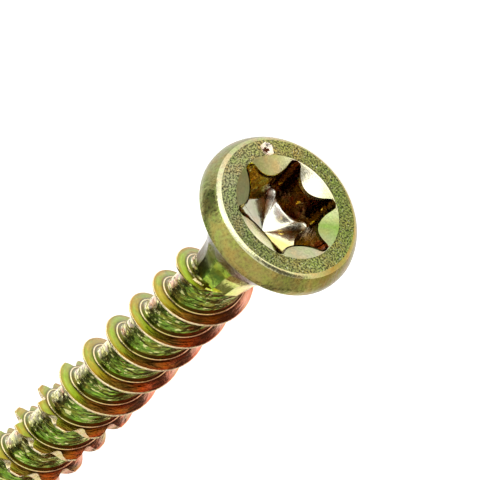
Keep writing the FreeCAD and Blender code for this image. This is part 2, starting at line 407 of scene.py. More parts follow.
def sink_star(blank, sizes):
    """The star's walls, drawn down from the outline and narrowing, then its cone of a floor."""
    edit(blank)
    pick_rim(blank, lambda p: p.xy.length < sizes.sink_radius - 10 * HAIR)
    bpy.ops.object.vertex_group_assign_new()
    blank.vertex_groups[-1].name = "mouth"
    draw_out()
    bpy.ops.object.vertex_group_remove_from()
    bpy.ops.transform.resize(
        value=(FOOT_SHARE, FOOT_SHARE, 0.0), center_override=(0.0, 0.0, -sizes.drive_depth))
    bpy.ops.object.vertex_group_assign_new()
    blank.vertex_groups[-1].name = "foot"
    share = 1.0
    for i in range(1, FLOOR_RINGS):
        next_share = 1.0 - i / FLOOR_RINGS
        draw_out(FLOOR_CONE / FLOOR_RINGS, next_share / share)
        bpy.ops.object.vertex_group_remove_from()
        share = next_share
    draw_out(FLOOR_CONE / FLOOR_RINGS, 0.01)
    bpy.ops.object.vertex_group_remove_from()
    bpy.ops.mesh.merge(type="CENTER")
    for name, width in (("mouth", MOUTH_ROUND), ("foot", FOOT_ROUND)):
        bpy.ops.mesh.select_all(action="DESELECT")
        bpy.ops.object.vertex_group_set_active(group=name)
        bpy.ops.object.vertex_group_select()
        bpy.ops.mesh.bevel(affect="EDGES", offset=width, segments=3, profile=0.5)


def cone_radius(depth):
    return CONE_RADIUS + (CONE_END - depth) * CONE_SLOPE


def head_levels(sizes):
    """Ring, shoulder, side, rim and underside, as (radius, depth)."""
    sink = sizes.sink_radius
    levels = []
    for i in range(1, RING_STEPS + 1):
        levels.append((sink + (sizes.ring_radius - sink) * i / RING_STEPS, 0.0))
    levels.extend(SHOULDER)
    for inset, depth in RIM:
        levels.append((sizes.head_radius - inset, depth))
    levels.append(UNDERSIDE)
    return levels


def neck_levels():
    """The cone under the head and the neck, wider than the flats' ridges, as (radius, depth)."""
    levels = [CONE_TOP] + [(cone_radius(depth), depth) for depth in CONE_DEPTHS]
    levels.extend(CONE_FOOT)
    bottom, bottom_flat = FLAT_LEVELS[-1]
    for i in range(NECK_RINGS + 1):
        share = i / NECK_RINGS
        flat = NECK_TOP_FLAT + (bottom_flat - NECK_TOP_FLAT) * share
        levels.append((ridge_radius(flat) + FLAT_COVER, NECK_TOP + (bottom - NECK_TOP) * share))
    return levels


def shank_levels(sizes):
    """The core and the point, as (radius, depth)."""
    shank = sizes.shank_radius
    taper = sizes.length - sizes.point_length
    levels = [(shank + beyond, depth) for beyond, depth in SHANK_TOP]
    top = SHANK_TOP[-1][1]
    for i in range(1, SHANK_RINGS + 1):
        levels.append((shank, top + (taper - top) * i / SHANK_RINGS))
    end, above = TIP[0]
    for i in range(1, POINT_RINGS + 1):
        share = i / POINT_RINGS
        levels.append((shank + (end - shank) * share, taper + (sizes.point_length - above) * share))
    for radius, above in TIP[1:]:
        levels.append((radius, sizes.length - above))
    return levels


def turn_outside(blank, sizes):
    """All that is round, drawn out from the countersink's edge ring by ring down to the point."""
    sink = sizes.sink_radius
    pick(blank, lambda vertex: abs(vertex.co.xy.length - sink) < HAIR)
    lathe_on(head_levels(sizes) + neck_levels() + shank_levels(sizes), sink, 0.0)
    bpy.ops.mesh.merge(type="CENTER")
    pick_edges(blank, lambda *ends: all(
        abs(p.xy.length - sink) < 0.5 * HAIR and p.z > -10 * HAIR for p in ends))
    bpy.ops.mesh.bevel(affect="EDGES", offset=SINK_ROUND, segments=3, profile=0.5)
    face_outward()


def ridge_radius(flat):
    """Distance from the axis of the ridges between flats that are this far out."""
    return flat / cos(pi / FLATS)


def press(blank, helper, keep, name, test):
    """Keeps the vertices that pass the test inside or outside of the helper, and removes it."""
    pressed = blank.vertex_groups.new(name=name)
    pressed.add([v.index for v in blank.data.vertices if test(v.co)], 1.0, "REPLACE")
    apply_modifier(blank, "SHRINKWRAP", target=helper, wrap_method="NEAREST_SURFACEPOINT",
                   wrap_mode=keep, vertex_group=name)
    remove(helper)


def press_flats(blank):
    """The flats: the neck is drawn in to a helper, a hole of as many sides as there are flats."""
    top, top_flat = FLAT_LEVELS[0]
    plain_start()
    bpy.ops.mesh.primitive_circle_add(
        vertices=FLATS, radius=ridge_radius(top_flat), location=(0.0, 0.0, -top))
    hole = bpy.context.object
    edit(hole)
    lathe_on([(flat, depth) for depth, flat in FLAT_LEVELS[1:]], top_flat, top)
    bpy.ops.mesh.edge_face_add()
    pick(hole, lambda vertex: vertex.co.z > -HAIR)
    bpy.ops.mesh.edge_face_add()
    face_outward()
    mode("OBJECT")
    corner = atan2(hole.data.vertices[0].co.y, hole.data.vertices[0].co.x)
    hole.rotation_euler.z = FLAT_AZIMUTH - corner
    low, high = -FLAT_LEVELS[-1][0] - 10 * HAIR, -top - 50 * HAIR
    press(blank, hole, "INSIDE", "neck", lambda p: low < p.z < high)


def press_pit(blank):
    """The pit: the ring is pressed in by a helper, a ball."""
    ball_radius = (PIT_RADIUS ** 2 + PIT_DEPTH ** 2) / (2 * PIT_DEPTH)
    plain_start()
    bpy.ops.mesh.primitive_uv_sphere_add(
        segments=64, ring_count=48, radius=ball_radius, location=(*PIT_CENTRE, ball_radius - PIT_DEPTH))
    ball = bpy.context.object
    reach = 1.5 * PIT_RADIUS
    press(blank, ball, "OUTSIDE", "ring", lambda p: p.z > -reach and (p.xy - PIT_CENTRE).length < reach)


def make_blank(sizes):
    """Countersink, star recess, ring, shoulder, neck, core and point as one closed skin."""
    blank = star_outline(sizes.lobe_tip, sizes.lobe_cusp, sizes.lobe_round)
    blank.name = "screw_blank"
    form_lands(blank, sizes)
    sink_star(blank, sizes)
    turn_outside(blank, sizes)
    press_flats(blank)
    press_pit(blank)


def draw_section(points):
    """One vertex drawn on from point to point, (x, z), into a closed outline."""
    plain_start()
    bpy.ops.mesh.primitive_plane_add(size=0.1, location=(points[0][0], 0.0, points[0][1]))
    section = bpy.context.object
    bpy.ops.object.transform_apply(location=True, rotation=False, scale=False)
    edit(section)
    bpy.ops.mesh.merge(type="CENTER")
    for (x, z), (next_x, next_z) in zip(points[:-1], points[1:]):
        bpy.ops.mesh.extrude_vertices_move(TRANSFORM_OT_translate={"value": (next_x - x, 0.0, next_z - z)})
    bpy.ops.mesh.select_all(action="SELECT")
    bpy.ops.mesh.edge_face_add()
    bpy.ops.mesh.delete(type="ONLY_FACE")
    mode("OBJECT")
    return section


def thread_section(sizes):
    """The section, from inside the core over the crest and back: (radius, offset along the axis)."""
    crest = sizes.thread_radius

    def on_flank(radius):
        return CREST_HALF + (crest - radius) * tan(FLANK)

    half = [(sizes.shank_radius - ROOT_SINK, on_flank(ROOT_RADIUS) + ROOT_SPREAD)]
    for radius, beyond in ROOT_STEP:
        half.append((radius, on_flank(ROOT_RADIUS) + beyond))
    for radius, beyond in ROOT_BEAD + STRAIGHT:
        half.append((radius, on_flank(radius) + beyond))
    for inside, offset in CREST:
        half.append((crest - inside, offset))
    return half + [(radius, -offset) for radius, offset in reversed(half)]


def turned(sizes, depth):
    """How far round the thread has gone at this depth, from the top of its run-out."""
    return (depth - THREAD_TOP) / sizes.lead * 2 * pi


def top_marks(sizes):
    """The run-out at the neck: (turn up from the point, root's radius, share of the height)."""
    inside = sizes.shank_radius - ROOT_SINK
    whole = turned(sizes, sizes.length - sizes.point_length) - TOP_RUN_OUT
    marks = []
    for i in range(1, TOP_RUN_OUT_STEPS + 1):
        gone = i / TOP_RUN_OUT_STEPS
        marks.append((whole + TOP_RUN_OUT * gone, inside, 1.0 - (1.0 - FAINT) * gone))
    return marks


def point_marks(sizes):
    """The thread down the point and its run-out there, as top_marks has it."""
    taper = turned(sizes, sizes.length - sizes.point_length)
    last = turned(sizes, sizes.length - THREAD_END)
    fade = last - TIP_RUN_OUT
    end = POINT_CORE_END
    marks = []
    for i in range(1, POINT_STEPS + 1):
        turn = taper + (last - taper) * i / POINT_STEPS
        if turn < fade:
            share = 1.0 - (1.0 - POINT_SHARE) * (turn - taper) / (fade - taper)
        else:
            share = POINT_SHARE - (POINT_SHARE - FAINT) * (turn - fade) / TIP_RUN_OUT
        depth = THREAD_TOP + sizes.lead * turn / (2 * pi)
        left = (sizes.length - end - depth) / (sizes.point_length - end)
        marks.append((taper - turn, end + (sizes.shank_radius - end) * left - ROOT_SINK, share))
    return marks


def make_thread(sizes):
    """One start of the thread: its section turned round the core, drawn out at both ends, then notched."""
    taper = turned(sizes, sizes.length - sizes.point_length)
    whole = taper - TOP_RUN_OUT
    steps = round(whole / (2 * pi) * STEPS_A_TURN)
    thread = draw_section(thread_section(sizes))
    thread.name = "screw_thread"
    # drawn at z = 0 for where the point begins, the section climbs to the neck
    rise = sizes.lead / (2 * pi)
    apply_modifier(thread, "SCREW", axis="Z", angle=whole, screw_offset=rise * whole,
                   steps=steps, render_steps=steps, use_smooth_shade=True, use_merge_vertices=False)
    edit(thread)
    for turn, marks in ((whole, top_marks(sizes)), (0.0, point_marks(sizes))):
        height = rise * turn
        pick_rim(thread, lambda p: abs(p.z - height) < SECTION_REACH)
        root, share = sizes.shank_radius - ROOT_SINK, 1.0
        for next_turn, next_root, next_share in marks:
            shift = next_turn - turn
            bpy.ops.mesh.extrude_edges_move(TRANSFORM_OT_translate={"value": (0.0, 0.0, rise * shift)})
            bpy.ops.transform.rotate(value=-shift, orient_axis="Z", center_override=AXIS)
            outward = unit(next_turn).to_3d()
            bpy.ops.transform.resize(value=(next_share / share,) * 3,
                                     center_override=outward * root + Vector((0.0, 0.0, rise * next_turn)))
            if next_root != root:
                bpy.ops.transform.translate(value=outward * (next_root - root))
            turn, root, share = next_turn, next_root, next_share
        bpy.ops.mesh.edge_face_add()
    face_outward()
    mode("OBJECT")
    cut_notches(thread, sizes, taper, rise)
    # down to its place on the shank
    place = Matrix.Translation((0.0, 0.0, -THREAD_TOP - rise * taper))
    thread.matrix_world = place @ Matrix.Rotation(THREAD_TOP_AZIMUTH - taper, 4, "Z")
    only(thread)
    bpy.ops.object.transform_apply(location=True, rotation=True, scale=True)
    return thread


def make_cutter(sizes):
    """A helper for one notch, its outline lying in the plane y = 0 and drawn out to both sides of it."""
    bottom = sizes.thread_radius - sizes.notch_depth
    half = []
    for share, degrees in CUTTER:
        radius = bottom + sizes.notch_depth * share
        turn = radians(degrees)
        half.append((radius * cos(turn), radius * sin(turn)))
    cutter = draw_section(half + [(x, -z) for x, z in reversed(half[1:])])
    edit(cutter)
    bpy.ops.mesh.edge_face_add()
    bpy.ops.transform.translate(value=(0.0, -CUTTER_LENGTH / 2, 0.0))
    bpy.ops.mesh.extrude_region_move(TRANSFORM_OT_translate={"value": (0.0, CUTTER_LENGTH, 0.0)})
    face_outward()
    mode("OBJECT")
    return cutter


def cut_notches(thread, sizes, taper, rise):
    """The cutter is set leaning at every eighth of a turn, and all copies are cut from the thread."""
    cutter = make_cutter(sizes)
    lean = Matrix.Rotation(radians(90.0) - NOTCH_LEAN, 4, "X")
    cutters = []
    for i in range(NOTCHES):
        turn = taper - (NOTCH_FIRST + NOTCH_TURN * i)
        piece = copy_of(cutter)
        place = Matrix.Translation((0.0, 0.0, rise * turn)) @ Matrix.Rotation(turn, 4, "Z")
        piece.matrix_world = place @ lean
        cutters.append(piece)
    remove(cutter)
    plain_start()
    for piece in cutters:
        piece.select_set(True)
    bpy.context.view_layer.objects.active = cutters[0]
    bpy.ops.object.join()
    apply_modifier(thread, "BOOLEAN", operation="DIFFERENCE", solver="EXACT", object=cutters[0])
    remove(cutters[0])


def roll_threads(sizes):
    """Both starts of the thread, the second one a copy turned half round."""
    thread = make_thread(sizes)
    threads = [thread]
    for i in range(1, STARTS):
        other = copy_of(thread)
        other.matrix_world = Matrix.Rotation(2 * pi * i / STARTS, 4, "Z")
        only(other)
        bpy.ops.object.transform_apply(location=True, rotation=True, scale=True)
        threads.append(other)
    return threads


def to_row():
    """From the screw's own millimetres to the frame's metres, lying down."""
    up = Vector((-sin(AXIS_TILT), 0.0, cos(AXIS_TILT)))
    along = Vector((cos(AXIS_TILT), 0.0, sin(AXIS_TILT)))
    turn = Matrix((up, Vector((0.0, -1.0, 0.0)), along)).transposed()
    return Matrix.Translation(RING_CENTRE * MM) @ turn.to_4x4() @ Matrix.Scale(MM, 4)


def linear(code):
    """sRGB hex to linear light."""
    out = []
    for i in (1, 3, 5):
        value = int(code[i:i + 2], 16) / 255.0
        out.append(value / 12.92 if value <= 0.04045 else ((value + 0.055) / 1.055) ** 2.4)
    return (*out, 1.0)


def node(tree, kind, inputs=None, **settings):
    """A node with its settings, its values and the links into it."""
    made = tree.nodes.new("ShaderNode" + kind)
    for name, value in settings.items():
        setattr(made, name, value)
    for name, value in (inputs or {}).items():
        if isinstance(value, bpy.types.NodeSocket):
            tree.links.new(value, made.inputs[name])
        else:
            made.inputs[name].default_value = value
    return made


def noise(tree, place, size, detail, roughness=0.6, distortion=0.0):
    """Noise with marks of this size in millimetres."""
    made = node(tree, "TexNoise", {"Vector": place, "Scale": 1.0 / size, "Detail": detail,
                                   "Roughness": roughness, "Distortion": distortion})
    return made.outputs["Fac"]


def new_material(name):
    material = bpy.data.materials.new(name)
    material.use_nodes = True
    material.node_tree.nodes.clear()
    return material


def own_axes(tree):
    """For a pattern: the place on the upright screw in mm, its height, turn as a share and radius."""
    place = node(tree, "TexCoord")
    frame_of = to_row()
    turned = node(tree, "Mapping", {
        "Vector": place.outputs["Object"], "Location": frame_of.translation,
        "Rotation": frame_of.to_euler(), "Scale": (MM, MM, MM)}, vector_type="TEXTURE")
    parts = node(tree, "SeparateXYZ", {0: turned.outputs[0]})
    flat = node(tree, "VectorMath", {0: turned.outputs[0], 1: (1.0, 1.0, 0.0)}, operation="MULTIPLY")
    out = node(tree, "VectorMath", {0: flat.outputs[0]}, operation="LENGTH")
    angle = node(tree, "Math", {0: parts.outputs[1], 1: parts.outputs[0]}, operation="ARCTAN2")
    turn = node(tree, "Math", {0: angle.outputs[0], 1: 1.0 / (2 * pi), 2: 0.5}, operation="MULTIPLY_ADD")
    return turned.outputs[0], parts.outputs[2], turn.outputs[0], out.outputs["Value"]


def thread_axes(tree, along, turn, out, lead):
    """The same place as the way along the thread, the radius and the way across the thread."""
    way = node(tree, "Math", {0: turn, 1: 2 * pi * ROLLED_RADIUS}, operation="MULTIPLY")
    across = node(tree, "Math", {0: turn, 1: -lead, 2: along}, operation="MULTIPLY_ADD")
    return node(tree, "CombineXYZ", {0: way.outputs[0], 1: out, 2: across.outputs[0]}).outputs[0]


def ramp(tree, value, stops, tint=(1.0, 1.0, 1.0)):
    """A colour ramp with these (position, colour) stops, each multiplied by the tint."""
    made = node(tree, "ValToRGB", {0: value})
    marks = made.color_ramp.elements
    while len(marks) < len(stops):
        marks.new(0.5)
    for mark, (position, code) in zip(marks, stops):
        mark.position = position
        mark.color = (*(part * share for part, share in zip(linear(code), tint)), 1.0)
    return made.outputs[0]


def round_stops(stops):
    """Stops given by azimuth in degrees, closed over the seam at 180 degrees."""
    marks = sorted(((azimuth / 360.0 + 0.5), code) for azimuth, code in stops)
    if marks[0][0] > 0.0:
        marks.insert(0, (0.0, marks[0][1]))
    return marks + [(1.0, marks[0][1])]


def mix(tree, factor, a, b, blend="MIX"):
    made = node(tree, "Mix", {0: factor, 6: a, 7: b}, data_type="RGBA", blend_type=blend)
    return made.outputs[2]


# Laid over a colour, #BCBCBC leaves it as it is, darker greys darken it and lighter ones brighten it
GRAIN = ((0.30, "#909090"), (0.5, "#BCBCBC"), (0.70, "#E0E0E0"))
DRIFT = ((0.38, "#CCB8AC"), (0.5, "#BCBCBC"), (0.62, "#B4C6A8"))
# where marks that run along the thread have their true length
ROLLED_RADIUS = 2.4
GLINT_EDGE = 0.03


def plated(finish, around, tint, lead, drift=DRIFT, drift_size=0.8, drift_share=0.6, grain=GRAIN,
           grain_size=0.14, grain_share=0.4, relief=0.02, tear_size=0.5, tear_depth=0.0, roughness=0.2,
           rough_spread=0.05, stretch=(1.0, 1.0, 1.0), rolled=False, by_radius=(), glints="",
           glint_size=0.3, glint_from=0.62):
    """Steel plated with zinc under a yellow chromate film.

    around gives the colour by azimuth: the film's hue together with painted light, shade and reflection for
    the way the screw lies. by_radius gives how it changes with the distance from the axis, in places as
    painted shade. drift the hues it wanders through, grain the fine marks of forging and rolling, relief
    their height, tear_depth that of larger dents and tears, and glints the colour of painted highlights,
    small bright spots mixed into the colour. Where rolled is set, all marks run along the thread. Sizes are
    in millimetres. Real grain is finer, but below 0.1 mm it vanishes in a picture of the screw, so it is
    drawn coarser.
    """
    material = new_material("chromated_steel_" + finish)
    tree = material.node_tree
    place, along, turn, out = own_axes(tree)
    if rolled:
        place = thread_axes(tree, along, turn, out, lead)
    # the colour by azimuth: the film's hue with painted light, shade and reflection
    film = ramp(tree, turn, round_stops(around), tint=tint)
    place = node(tree, "VectorMath", {0: place, 1: stretch}, operation="MULTIPLY").outputs[0]
    wander = noise(tree, place, drift_size, 3.0, roughness=0.55)
    film = mix(tree, drift_share, film, ramp(tree, wander, drift), "OVERLAY")
    fine = noise(tree, place, grain_size, 3.0)
    film = mix(tree, grain_share, film, ramp(tree, fine, grain), "OVERLAY")
    # the colour by radius, where it darkens: painted shade
    if by_radius:
        low, high = by_radius[0][0], by_radius[-1][0]
        share = node(tree, "MapRange", {"Value": out, "From Min": low, "From Max": high})
        stops = [((radius - low) / (high - low), code) for radius, code in by_radius]
        film = mix(tree, 1.0, film, ramp(tree, share.outputs[0], stops), "MULTIPLY")
    # painted glints: small bright spots mixed into the colour as painted highlights
    if glints:
        glint_mask = node(tree, "MapRange", {"Value": noise(tree, place, glint_size, 2.0),
                                       "From Min": glint_from, "From Max": glint_from + GLINT_EDGE})
        film = mix(tree, glint_mask.outputs[0], film, linear(glints))
    rough = node(tree, "MapRange", {
        "Value": fine, "From Min": 0.3, "From Max": 0.7,
        "To Min": roughness - rough_spread, "To Max": roughness + rough_spread})
    inputs = {"Height": fine, "Strength": 1.0, "Distance": relief * MM}
    if tear_depth:
        torn = noise(tree, place, tear_size, 2.0, roughness=0.5, distortion=0.6)
        dents = node(tree, "Bump", {"Height": torn, "Strength": 1.0, "Distance": tear_depth * MM})
        inputs["Normal"] = dents.outputs[0]
    surface = node(tree, "Bump", inputs)
    shader = node(tree, "BsdfPrincipled", {
        "Base Color": film, "Metallic": 1.0, "Roughness": rough.outputs[0], "Normal": surface.outputs[0]})
    node(tree, "OutputMaterial", {"Surface": shader.outputs[0]})
    return material


def finishes(tint, lead):
    """One finish for each way a part of the screw was formed, with painted light, shade and reflection in
    its colours.
    """
    plate = partial(plated, tint=tint, lead=lead)
    made = {}
    # stamped by the matt face of the die: pitted, so the film looks dark; its light specks are partly the
    # grain and partly painted glints, and painted light makes it lighter from -140 to -60 degrees, on the
    # side toward the front box
    made["ring"] = plate(
        "stippled",
        ((-180, "#767C40"), (-140, "#90864C"), (-100, "#8E8A58"), (-60, "#8A8A62"), (0, "#6C7040"),
         (60, "#84854A"), (120, "#72793A")),
        drift_size=1.3, drift_share=0.7, grain=((0.38, "#585858"), (0.5, "#B8B8B8"), (0.57, "#FFFFFF")),
        grain_share=1.0, relief=0.26, roughness=0.30, rough_spread=0.08, glints="#D8D8B0",
        glint_size=0.16, glint_from=0.64)
    # a dent pressed by a burr of the die: its rim is painted bright all round as a highlight, and its floor
    # takes the neck's finish as painted shade
    made["pit"] = plate(
        "dented",
        ((-180, "#E8D8C8"), (120, "#E8D8C8")),
        drift_size=0.5, grain_size=0.1, relief=0.03, roughness=0.14)
    # the shoulder: a painted highlight, brightest from -60 to 30 degrees, on the side toward the front box
    made["shoulder"] = plate(
        "rubbed_shoulder",
        ((-170, "#A89C68"), (-95, "#A8A47C"), (-60, "#C8C49C"), (-30, "#EAEAC4"), (30, "#D0CC98"),
         (80, "#94803E"), (150, "#A09254")),
        grain_size=0.16, relief=0.015, tear_size=0.9, tear_depth=0.03, roughness=0.17)
    # upset in the die and tumbled: satin, with shallow dents that break up its sheen; painted light makes it
    # lighter from -30 to 40 degrees and painted shade darker from 70 to 100
    made["side"] = plate(
        "satin",
        ((-170, "#8C804C"), (-100, "#7E7953"), (-60, "#838555"), (-30, "#AFB364"), (5, "#A19352"),
         (40, "#A49C54"), (70, "#6C5E22"), (100, "#7C6C38"), (150, "#867846")),
        drift_share=0.7, grain_size=0.2, grain_share=0.6, relief=0.025, tear_size=1.0, tear_depth=0.07,
        roughness=0.29, rough_spread=0.06)
    # coined by the punch: smooth, so it shows what is round it; a painted reflection in its colour makes it
    # light on one side and dark on the other
    made["lands"] = plate(
        "coined",
        ((-180, "#FBF4DC"), (-130, "#A69A68"), (-90, "#66633F"), (-40, "#66633F"), (0, "#D8D2AE"),
         (40, "#A8A47E"), (80, "#A8A688"), (120, "#82984C"), (150, "#D0D0A0")),
        drift_size=1.0, drift_share=0.5, grain_size=0.16, relief=0.01, rough_spread=0.04)
    # drawn along the punch, deep in the recess: glossy amber, painted dark as the shade in the recess, with
    # a painted reflection bright from -115 to -70 degrees and painted glints
    made["walls"] = plate(
        "drawn_amber",
        ((-180, "#543618"), (-145, "#5C3C1A"), (-115, "#E8E488"), (-70, "#D8CC60"), (50, "#6C4420"),
         (95, "#74502C"), (125, "#5C4018"), (155, "#503818")),
        drift=((0.40, "#DCA090"), (0.5, "#BCBCBC"), (0.60, "#D0D070")), drift_size=0.7, drift_share=1.0,
        grain_share=0.5, tear_depth=0.13, roughness=0.10, rough_spread=0.03, stretch=(1.0, 1.0, 0.5),
        glints="#F8E070", glint_size=0.45, glint_from=0.655)
    # struck by the punch's end: bright, with a few soft dents; its darker band from -130 to -96 degrees is a
    # painted reflection
    made["floor"] = plate(
        "punched",
        ((-160, "#F4F4E8"), (-130, "#ACAC98"), (-115, "#A4A08C"), (-96, "#ACA894"), (-88, "#D8D8CC"),
         (-60, "#D8D4B8"), (60, "#DCD098"), (105, "#E4D888"), (125, "#FFFCE0"), (180, "#F4F0D8")),
        drift_size=1.0, drift_share=0.4, grain_size=0.3, grain_share=0.2, relief=0.006, tear_size=1.1,
        tear_depth=0.02, roughness=0.15, rough_spread=0.02)
    # extruded through the neck of the die: each flat is painted with its own highlight and shade by azimuth,
    # brightest from -12 to 45 degrees and at -76, and under the head painted shade darkens it
    made["neck"] = plate(
        "extruded",
        ((-160, "#8A8A50"), (-92, "#8C6C5C"), (-76, "#D8D4C8"), (-62, "#53421D"), (-50, "#4B3E10"),
         (-35, "#50500F"), (-20, "#6C7420"), (-12, "#B0DC58"), (12, "#C0F064"), (14, "#DCE070"),
         (45, "#D0CC64"), (90, "#B89C70"), (150, "#908850")),
        drift_share=0.8, grain_size=0.16, relief=0.015, tear_size=0.7, tear_depth=0.05,
        stretch=(1.0, 1.0, 0.6),
        by_radius=((2.1, "#FFFFFF"), (3.1, "#FFFFFF"), (3.45, "#885A4C"), (5.9, "#6C463C")))
    # rolled down between the turns, torn and scaly along the thread: its dents glitter in short streaks,
    # with painted glints and a painted highlight at -70 degrees
    made["core"] = plate(
        "rolled_core",
        ((-180, "#8C8850"), (-70, "#D8C8BC"), (-45, "#706C3C"), (-20, "#738838"), (0, "#76963C"),
         (60, "#88904C"), (140, "#8C8850")),
        drift=((0.38, "#CCA898"), (0.5, "#B8BCB8"), (0.62, "#C4D09C")), drift_size=0.6, drift_share=0.9,
        grain=((0.34, "#747474"), (0.5, "#BCBCBC"), (0.64, "#FAFAF0")), grain_size=0.25, grain_share=0.7,
        relief=0.045, tear_size=0.68, tear_depth=0.28, rough_spread=0.06, stretch=(0.45, 1.0, 1.0),
        rolled=True, glints="#E4E098", glint_from=0.595)
    # squeezed between the rolls: smooth, its hue from green to copper round the screw, with a painted
    # reflection darkest from 5 to 30 degrees and painted shade darkening it towards the root
    made["flank"] = plate(
        "rolled_flank",
        ((-180, "#A88450"), (-110, "#909856"), (-75, "#9CA44C"), (-40, "#9CA845"), (-15, "#828B22"),
         (5, "#725F22"), (30, "#60421C"), (50, "#924516"), (80, "#A1684E"), (105, "#C8A494"),
         (150, "#A88460")),
        drift=((0.40, "#D4B0A4"), (0.5, "#BCBCBC"), (0.60, "#B4C89C")), drift_size=0.7, drift_share=0.8,
        tear_depth=0.06, roughness=0.19, stretch=(0.35, 1.0, 0.6), rolled=True,
        by_radius=((2.05, "#A0A088"), (2.2, "#8C7858"), (2.34, "#94806C"), (2.48, "#ECE4D4"),
                   (2.7, "#FFFFFF"), (2.95, "#FFCCB4")))
    # the bead that the rolls leave along the root: a bright line, a painted highlight
    made["bead"] = plate(
        "rubbed_bead",
        ((-180, "#D8C098"), (-80, "#E0D0A8"), (-30, "#ECDCA8"), (10, "#E8D090"), (50, "#E0A880"),
         (110, "#D09C80")),
        drift_size=0.6, drift_share=0.8, grain_share=0.6, tear_depth=0.03, rolled=True)
    # the crests and the faces the notches leave: a pale edge, a painted highlight
    made["crest"] = plate(
        "rubbed_crest",
        ((-180, "#D8BC98"), (-60, "#DCCAA0"), (0, "#ECDCB4"), (40, "#E4C89C"), (80, "#DCA890"),
         (120, "#E0B498")),
        drift_size=0.5, drift_share=0.8, grain_size=0.12, grain_share=0.8, relief=0.03, tear_size=0.4,
        tear_depth=0.05, rolled=True)
    return made


# Where a finish ends, as radii and depths
SINK_RADIUS = 3.97
SINK_DEPTH = 1.0
RECESS_DEPTH = 4.0
MOUTH_DEPTH = 1.2
RING_RADIUS = 5.16
RING_DEPTH = 0.3
PIT_FLOOR = 0.20
PIT_RIM = 0.50
SHOULDER_DEPTH = 0.20
RIM_RADIUS = 4.7
RIM_DEPTH = 1.80
NECK_DEPTH = 9.12
CORE_RADIUS = 2.05
BEAD_RADII = (2.20, 2.318)
CREST_RADIUS = 2.935
# the thread that comes up beside the neck, and the faces that the notches leave
THREAD_BEGINS = (2.35, 8.4)
NOTCHES_BEGIN = (2.36, 28.0)
# how far up a face looks: as a land or floor does, as the rounded mouth does, and as a flank does
FACES_UP = 0.6
FACES_MOUTH = 0.25
FACES_FLANK = 0.75


def zone_of(centre, normal):
    """The finish of a face, by its place on the upright screw in millimetres."""
    out, down = centre.xy.length, -centre.z
    if out < SINK_RADIUS and down < RECESS_DEPTH:
        if normal.z > FACES_UP:
            return "lands" if down < SINK_DEPTH else "floor"
        return "lands" if normal.z > FACES_MOUTH and down < MOUTH_DEPTH else "walls"
    if out < RING_RADIUS and down < RING_DEPTH:
        # the pit's floor takes the neck's finish, dark as painted shade in the hollow
        from_pit = (centre.xy - PIT_CENTRE).length
        return "neck" if from_pit < PIT_FLOOR else "pit" if from_pit < PIT_RIM else "ring"
    if out > RIM_RADIUS and down < RIM_DEPTH:
        return "shoulder" if down < SHOULDER_DEPTH else "side"
    if down < NECK_DEPTH and not (out > THREAD_BEGINS[0] and down > THREAD_BEGINS[1]):
        return "neck"
    notched = out > NOTCHES_BEGIN[0] and down > NOTCHES_BEGIN[1] and abs(normal.z) < FACES_FLANK
    if out > CREST_RADIUS or notched:
        return "crest"
    if BEAD_RADII[0] < out < BEAD_RADII[1]:
        return "bead"
    return "core" if out < CORE_RADIUS else "flank"


WELD = 0.0004
RIDGE_ANGLE = radians(14.0)
SMOOTH_ANGLE = radians(38.0)


def smooth(screw, neck):
    """Smooth all over, but for real edges and the neck's ridges, which are blunter than those."""
    edit(screw, "EDGE", "DESELECT")
    bpy.ops.mesh.edges_select_sharp(sharpness=RIDGE_ANGLE)
    mode("OBJECT")
    ridges = set()
    for face in screw.data.polygons:
        if face.material_index == neck:
            ridges.update(face.edge_keys)
    for edge in screw.data.edges:
        edge.select = edge.select and edge.key in ridges
    mode("EDIT")
    bpy.ops.mesh.mark_sharp()
    mode("OBJECT")
    bpy.ops.object.shade_smooth_by_angle(angle=SMOOTH_ANGLE, keep_sharp_edges=True)


class SCREW_OT_form_blank(bpy.types.Operator):
    """Forms the head, the star recess, the neck, the core and the point as one skin"""
    bl_idname = "screw.form_blank"
    bl_label = "Form Blank"

    def execute(self, context):
        make_blank(context.scene.screw_sizes)
        return {"FINISHED"}


class SCREW_OT_roll_threads(bpy.types.Operator):
    """Rolls both starts of the thread, cuts the notches and unites them with the blank"""
    bl_idname = "screw.roll_threads"
    bl_label = "Roll Threads"

    def execute(self, context):
        blank = bpy.data.objects["screw_blank"]
        for thread in roll_threads(context.scene.screw_sizes):
            apply_modifier(blank, "BOOLEAN", operation="UNION", solver="EXACT", object=thread)
            remove(thread)
        return {"FINISHED"}


class SCREW_OT_plate(bpy.types.Operator):
    """Gives each zone of the screw its finish, and lays the screw down in the frame"""
    bl_idname = "screw.plate"
    bl_label = "Plate and Lay Down"

    def execute(self, context):
        screw = bpy.data.objects["screw_blank"]
        edit(screw)
        bpy.ops.mesh.remove_doubles(threshold=WELD)
        mode("OBJECT")
        made = finishes(context.scene.screw_colours.film, context.scene.screw_sizes.lead)
        zones = list(made)
        screw.data.materials.clear()
        for finish in made.values():
            screw.data.materials.append(finish)
        for face in screw.data.polygons:
            face.material_index = zones.index(zone_of(face.center, face.normal))
        screw.vertex_groups.clear()
        screw.name = screw.data.name = "screw_plated"
        screw.matrix_world = to_row()
        only(screw)
        bpy.ops.object.transform_apply(location=True, rotation=True, scale=True)
        smooth(screw, zones.index("neck"))
        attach(screw, "root")
        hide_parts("screw")
        return {"FINISHED"}


